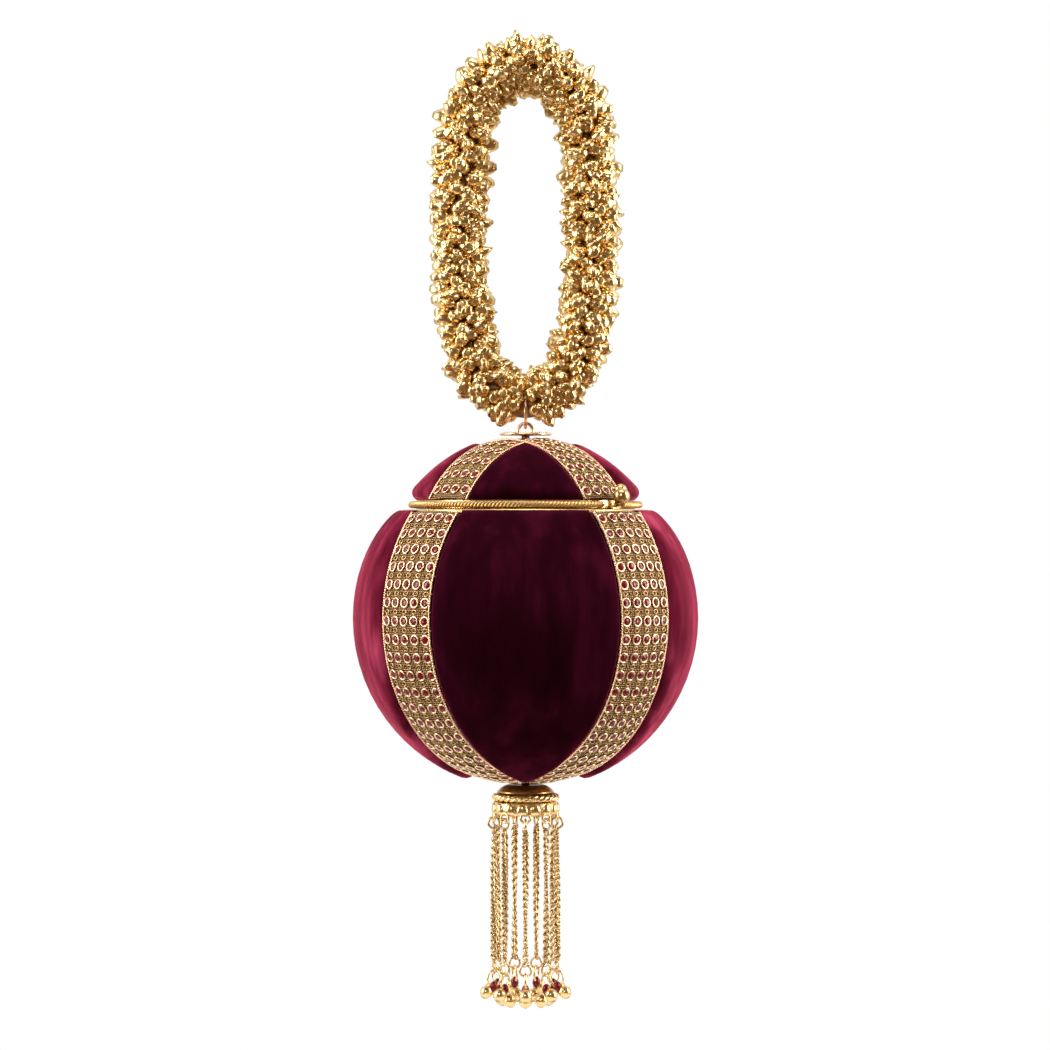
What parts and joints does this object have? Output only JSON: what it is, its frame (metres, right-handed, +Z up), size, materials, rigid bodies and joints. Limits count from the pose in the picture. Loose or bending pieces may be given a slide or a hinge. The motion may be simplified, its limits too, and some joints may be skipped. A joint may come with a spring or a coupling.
{
  "type": "round evening bag with a wrist loop",
  "caption": "Ball-shaped velvet evening bag with jewelled ribbons, a hinged lid with a kiss clasp, a bell-covered wrist loop and a chain tassel.",
  "frame": {"origin": "inside top of the wrist loop, where a wrist or hook carries the bag", "axes": "+Z up, the front faces -Y, the wrist loop lies in the XZ plane"},
  "size_m": [0.129, 0.129, 0.3605],
  "materials": {
    "gold": "polished gold plate",
    "brass": "polished",
    "card": "moulded card, matt",
    "lining": "satin cloth",
    "velvet": "deep pile velvet",
    "jewelled_ribbon": "gold woven ribbon set with garnet stones",
    "chain": "polished gold plate",
    "bell": "polished gold plate"
  },
  "bodies": {
    "wrist_loop": {"wrist_loop": "gold"},
    "top_ring": {"top_ring": "gold"},
    "lid": {"staple_plate": "gold", "lid_shell": "card", "lid_lining": "lining", "lid_nut": "brass", "lid_frame": "brass", "lid_clasp_ball": "brass", "seam_cord_left": "gold", "seam_cord_right": "gold", "lid_ribbon_across": "jewelled_ribbon", "lid_ribbon_left": "jewelled_ribbon", "lid_ribbon_right": "jewelled_ribbon", "lid_panel_front": "velvet", "lid_panel_right": "velvet", "lid_panel_back": "velvet", "lid_panel_left": "velvet"},
    "body": {"body_shell": "card", "body_lining": "lining", "body_nut": "brass", "body_frame": "brass", "hinge_pin": "brass", "body_clasp_ball": "brass", "tassel_cap": "brass", "tassel_twist_ring": "gold", "tassel_scallop_ring": "gold", "body_ribbon_across": "jewelled_ribbon", "body_ribbon_left": "jewelled_ribbon", "body_ribbon_right": "jewelled_ribbon", "body_panel_front": "velvet", "body_panel_right": "velvet", "body_panel_back": "velvet", "body_panel_left": "velvet"},
    "strand_1": {"chain_1": "chain", "drop_1": "bell"},
    "strand_2": {"chain_2": "chain", "drop_2": "bell"},
    "strand_3": {"chain_3": "chain", "drop_3": "bell"},
    "strand_4": {"chain_4": "chain", "drop_4": "bell"},
    "strand_5": {"chain_5": "chain", "drop_5": "bell"},
    "strand_6": {"chain_6": "chain", "drop_6": "bell"},
    "strand_7": {"chain_7": "chain", "drop_7": "bell"},
    "strand_8": {"chain_8": "chain", "drop_8": "bell"},
    "strand_9": {"chain_9": "chain", "drop_9": "bell"}
  },
  "joints": [
    {"name": "ring_swing", "type": "hinge", "parent": "wrist_loop", "child": "top_ring", "pos_m": [0, 0, -0.1174], "axis": [1, 0, 0], "range_deg": [-40, 40]},
    {"name": "lid_swing", "type": "hinge", "parent": "top_ring", "child": "lid", "pos_m": [0, 0, -0.12507], "axis": [0, 1, 0], "range_deg": [-10, 10]},
    {"name": "bag_opening", "type": "hinge", "parent": "lid", "child": "body", "pos_m": [-0.03253, 0.03253, -0.1549], "axis": [0.7071, 0.7071, 0], "range_deg": [0, 100]},
    {"name": "strand_1_swing", "type": "hinge", "parent": "body", "child": "strand_1", "pos_m": [0, -0.012, -0.27314], "axis": [-1, 0, 0], "range_deg": [-1, 45]},
    {"name": "strand_2_swing", "type": "hinge", "parent": "body", "child": "strand_2", "pos_m": [0.00771, -0.00919, -0.27314], "axis": [-0.766, -0.6428, 0], "range_deg": [-1, 45]},
    {"name": "strand_3_swing", "type": "hinge", "parent": "body", "child": "strand_3", "pos_m": [0.01182, -0.00208, -0.27314], "axis": [-0.1736, -0.9848, 0], "range_deg": [-1, 45]},
    {"name": "strand_4_swing", "type": "hinge", "parent": "body", "child": "strand_4", "pos_m": [0.01039, 0.006, -0.27314], "axis": [0.5, -0.866, 0], "range_deg": [-1, 45]},
    {"name": "strand_5_swing", "type": "hinge", "parent": "body", "child": "strand_5", "pos_m": [0.0041, 0.01128, -0.27314], "axis": [0.9397, -0.342, 0], "range_deg": [-1, 45]},
    {"name": "strand_6_swing", "type": "hinge", "parent": "body", "child": "strand_6", "pos_m": [-0.0041, 0.01128, -0.27314], "axis": [0.9397, 0.342, 0], "range_deg": [-1, 45]},
    {"name": "strand_7_swing", "type": "hinge", "parent": "body", "child": "strand_7", "pos_m": [-0.01039, 0.006, -0.27314], "axis": [0.5, 0.866, 0], "range_deg": [-1, 45]},
    {"name": "strand_8_swing", "type": "hinge", "parent": "body", "child": "strand_8", "pos_m": [-0.01182, -0.00208, -0.27314], "axis": [-0.1736, 0.9848, 0], "range_deg": [-1, 45]},
    {"name": "strand_9_swing", "type": "hinge", "parent": "body", "child": "strand_9", "pos_m": [-0.00771, -0.00919, -0.27314], "axis": [-0.766, 0.6428, 0], "range_deg": [-1, 45]}
  ]
}
